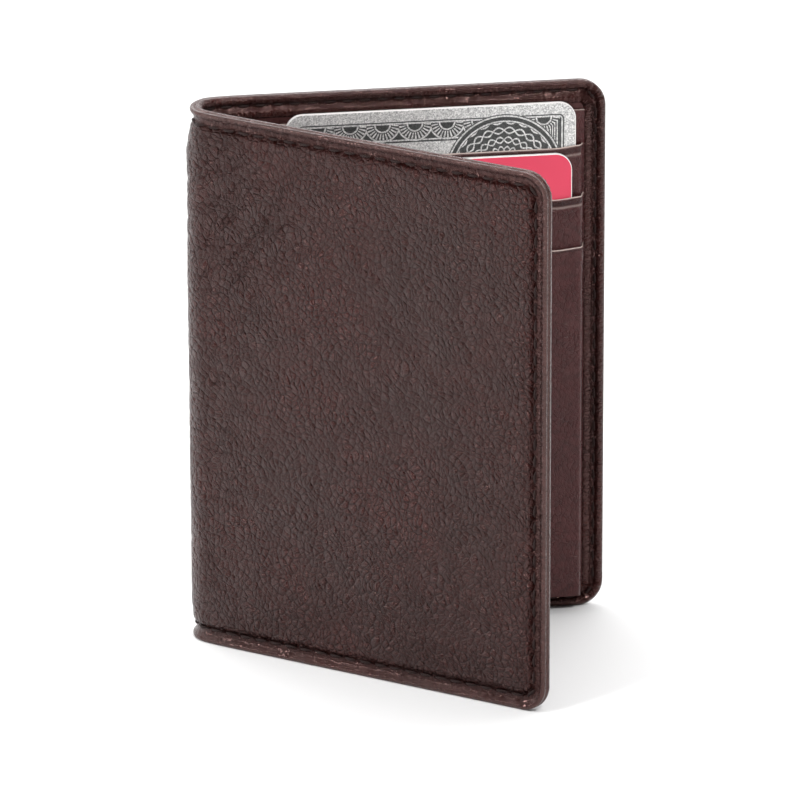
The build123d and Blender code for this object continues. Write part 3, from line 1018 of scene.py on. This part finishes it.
def board():
    """Grey fibre board of the hidden stiffeners."""
    material, tree, shader = new_material("fibre board", Specular_IOR_Level=0.3)
    place = add(tree, "TexCoord").outputs["Object"]
    fibres = add(tree, "Mapping", {"Vector": place, "Scale": (1.0, 1.0, 4.0)})
    fibres = add(tree, "TexNoise", {"Vector": fibres.outputs[0], "Scale": 700.0, "Detail": 5.0}).outputs[0]
    colour = mix_colour(tree, fibres, rgb(96, 88, 78), rgb(132, 122, 108))
    finish_surface(tree, shader, colour, remap(tree, fibres, 0.3, 0.7, 0.8, 0.95), fibres, 0.3, 0.05)
    return material


def divider_cloth():
    """Plain woven lining cloth of the hidden pocket dividers, with painted shade in the hollows of the weave.
    """
    material, tree, shader = new_material("divider cloth", Specular_IOR_Level=0.25)
    axes = add(tree, "SeparateXYZ", {0: add(tree, "TexCoord").outputs["Object"]})
    pitch = 2 * math.pi / (0.35 * MM)
    warp = sums(tree, "SINE", sums(tree, "MULTIPLY", axes.outputs["X"], pitch))
    weft = sums(tree, "SINE", sums(tree, "MULTIPLY", axes.outputs["Z"], pitch))
    weave = sums(tree, "MULTIPLY", warp, weft)
    # painted shade: the colour darkens where the weave's relief is low
    colour = mix_colour(tree, remap(tree, weave, -1.0, 1.0), rgb(30, 22, 21), rgb(58, 44, 41))
    finish_surface(tree, shader, colour, remap(tree, weave, -1.0, 1.0, 0.9, 0.7), weave, 0.4, 0.05)
    return material


# -------- stage

def towards(azimuth, elevation):
    """Direction out to a station round the wallet; azimuth 0 is in front of it."""
    a, e = math.radians(azimuth), math.radians(elevation)
    return Vector((math.sin(a) * math.cos(e), -math.cos(a) * math.cos(e), math.sin(e)))


def soft_light(name, azimuth, elevation, distance, size, power):
    """Oblong soft box aimed at the middle of the wallet."""
    middle = Vector((0, 0, HEIGHT / 2 * MM))
    away = towards(azimuth, elevation)
    bpy.ops.object.light_add(type="AREA", location=middle + away * distance)
    light = bpy.context.object
    light.name = name
    light.rotation_euler = (-away).to_track_quat("-Z", "Y").to_euler()
    light.data.shape = "RECTANGLE"
    light.data.size, light.data.size_y = size
    light.data.energy = power


def room_light():
    """White backdrop behind the wallet and a dim room in front of it; the camera sees plain white."""
    world = bpy.data.worlds.new("soft room")
    bpy.context.scene.world = world
    world.use_nodes = True
    tree = world.node_tree
    direction = add(tree, "SeparateXYZ", {0: add(tree, "TexCoord").outputs["Generated"]})
    backdrop = remap(tree, direction.outputs["Y"], -0.45, 0.4, 0.05, 1.9)
    ceiling = remap(tree, direction.outputs["Z"], 0.55, 0.9, 0.0, 1.1)
    seen = add(tree, "LightPath").outputs["Is Camera Ray"]
    strength = sums(tree, "MAXIMUM", seen, sums(tree, "MAXIMUM", backdrop, ceiling))
    background = tree.nodes["Background"]
    background.inputs["Color"].default_value = (1, 1, 1, 1)
    tree.links.new(strength, background.inputs["Strength"])


def stage():
    """Plain pale floor and soft studio light."""
    bpy.ops.object.select_all(action="DESELECT")
    bpy.ops.mesh.primitive_plane_add(size=8.0)
    floor = bpy.context.object
    floor.name = "pale_floor"
    material, tree, shader = new_material("pale floor", Roughness=0.9, Specular_IOR_Level=0.1)
    shader.inputs["Base Color"].default_value = (0.76, 0.76, 0.76, 1)
    floor.data.materials.append(material)
    room_light()
    soft_light("top_strip", 175, 55, 0.9, (1.0, 0.03), 3.2)
    soft_light("key", 16, 46, 0.9, (0.06, 0.06), 3.6)
    soft_light("left_panel", -74, 8, 0.4, (0.05, 0.03), 0.6)
    soft_light("near_left", -48, 50, 0.3, (0.03, 0.03), 0.3)
    soft_light("glint", 14, 14, 0.8, (0.03, 0.03), 0.6)
    soft_light("right_strip", 95, 20, 0.8, (0.015, 0.6), 0.6)
    bpy.context.scene.view_settings.view_transform = "Standard"


def camera():
    """Long lens from a little to the left and above."""
    azimuth, elevation, distance = -9.3, 19.3, 1.92
    aim_across, aim_height = 37.5 * MM, 44.2 * MM
    away = towards(azimuth, elevation)
    right = towards(azimuth + 90, 0)
    start = Vector((BACK_FOLD[0] * MM, (BACK_FOLD[1] + AXIS_DEPTH) * MM, 0))
    aim = start + right * aim_across + Vector((0, 0, aim_height))
    bpy.ops.object.camera_add(location=aim + away * distance)
    eye = bpy.context.object
    eye.rotation_euler = (-away).to_track_quat("-Z", "Y").to_euler()
    eye.data.sensor_width = 36.0
    eye.data.lens = 468.0
    eye.data.clip_start, eye.data.clip_end = 0.05, 20.0
    bpy.context.scene.camera = eye


# -------- the wallet

def dress(piece, slot, *materials):
    """Gives a piece its materials and smooth shading; its record slot is not used."""
    for material in materials:
        piece.data.materials.append(material)
    pick(piece)
    bpy.ops.object.shade_smooth_by_angle(angle=math.radians(50))
    return piece


random.seed(7)
hide = outer_leather()
lining_hide = inner_leather("lining leather", rgb(58, 28, 27), rgb(68, 34, 33), 0.25, 0.4)
pocket_hide = inner_leather("pocket leather", rgb(60, 27, 28), rgb(70, 33, 34), 0.4, 0.22)
waxed_thread = thread()
core, red, gold = bare_core(), red_print(), gold_contact()

for make, slot, look, node, spine_node in (
    (turned_leather, "outer_leather", hide, "outer_leather", "spine_leather"),
    (lining, "lining_leather", lining_hide, "lining", "spine_lining"),
    (edge_stitching, "stitching_thread", waxed_thread, "edge_stitching", "spine_stitching"),
):
    for side in (FRONT, BACK):
        piece = dress(make(side), slot, look)
        ride_cover(piece)
        spine_part = [spine_node] if side == FRONT else []
        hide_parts(f"{side}_{node}", *spine_part)

# Depth of each pocket's face below the cover's skin
TOP_FACE, MIDDLE_FACE, FRONT_FACE = 3.38, 4.72, 5.45
POCKET_NODES = ("card_pocket_top", "card_pocket_middle", "card_pocket_front")
MOUTHS = [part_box(node)[1].z / MM for node in POCKET_NODES]
panel_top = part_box("card_base_panel")[1].z / MM - PANEL_TUCK
pockets = {
    "card_base_panel": pocket_sheet("base_panel", panel_top, 4.0, 2.0, lip=0.02, side_step=False),
    "card_pocket_top": pocket_sheet("top_pocket", MOUTHS[0], 72.0, TOP_FACE, lip=0.12),
    "card_pocket_middle": pocket_sheet("middle_pocket", MOUTHS[1], 62.0, MIDDLE_FACE),
    "card_pocket_front": pocket_sheet("front_pocket", MOUTHS[2], 3.4, FRONT_FACE),
}
for node, piece in pockets.items():
    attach(dress(piece, "pocket_leather", pocket_hide), "back_cover")
    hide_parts(node)

slip_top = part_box("front_slip_pocket")[1].z / MM
slip = pocket_sheet("slip_pocket", slip_top, 4.0, 2.1, dip=thumb_dip, side=FRONT, side_step=False)
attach(dress(slip, "pocket_leather", pocket_hide), "front_cover")
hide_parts("front_slip_pocket")

seams = {
    "pocket_seam_stitching": seam_stitching(
        "pocket_seam_thread",
        BACK,
        [
            (panel_top, MOUTHS[0], 2.3),
            (MOUTHS[0], MOUTHS[1], TOP_FACE),
            (MOUTHS[1], MOUTHS[2], MIDDLE_FACE),
            (MOUTHS[2], 4.0, FRONT_FACE),
        ],
    ),
    "slip_pocket_stitching": seam_stitching("slip_pocket_thread", FRONT, [(slip_top, 5.0, SEAM_DEPTH)]),
}
for node, piece in seams.items():
    body = "back_cover" if node == "pocket_seam_stitching" else "front_cover"
    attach(dress(piece, "stitching_thread", waxed_thread), body)
    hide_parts(node)

for body, print_slot in (("silver_card", "silver_card_plastic"), ("red_card", "red_card_plastic")):
    laminate = card(body, body)
    low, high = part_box(body)
    half_size = (high - low) / 2 / MM
    printed = red
    if body == "silver_card":
        printed = framed_print((low + high) / 2, (half_size.x, half_size.z))
    dress(laminate, print_slot, core, printed)
    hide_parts(body)
    contacts = dress(chip(body, f"{body}_chip"), "chip_contact", gold)
    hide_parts(f"{body}_chip")

grey_board, cloth = board(), divider_cloth()
for side in (FRONT, BACK):
    stiffener = dress(cover_board(side), "stiffener_board", grey_board)
    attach(stiffener, SIDE_BODY[side])
    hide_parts(f"{side}_stiffener")
for node, face_depth in (
    ("card_pocket_top_divider", TOP_FACE),
    ("card_pocket_middle_divider", MIDDLE_FACE),
):
    hung = dress(divider(node, face_depth), "divider_fabric", cloth)
    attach(hung, "back_cover")
    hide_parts(node)

stage()
camera()
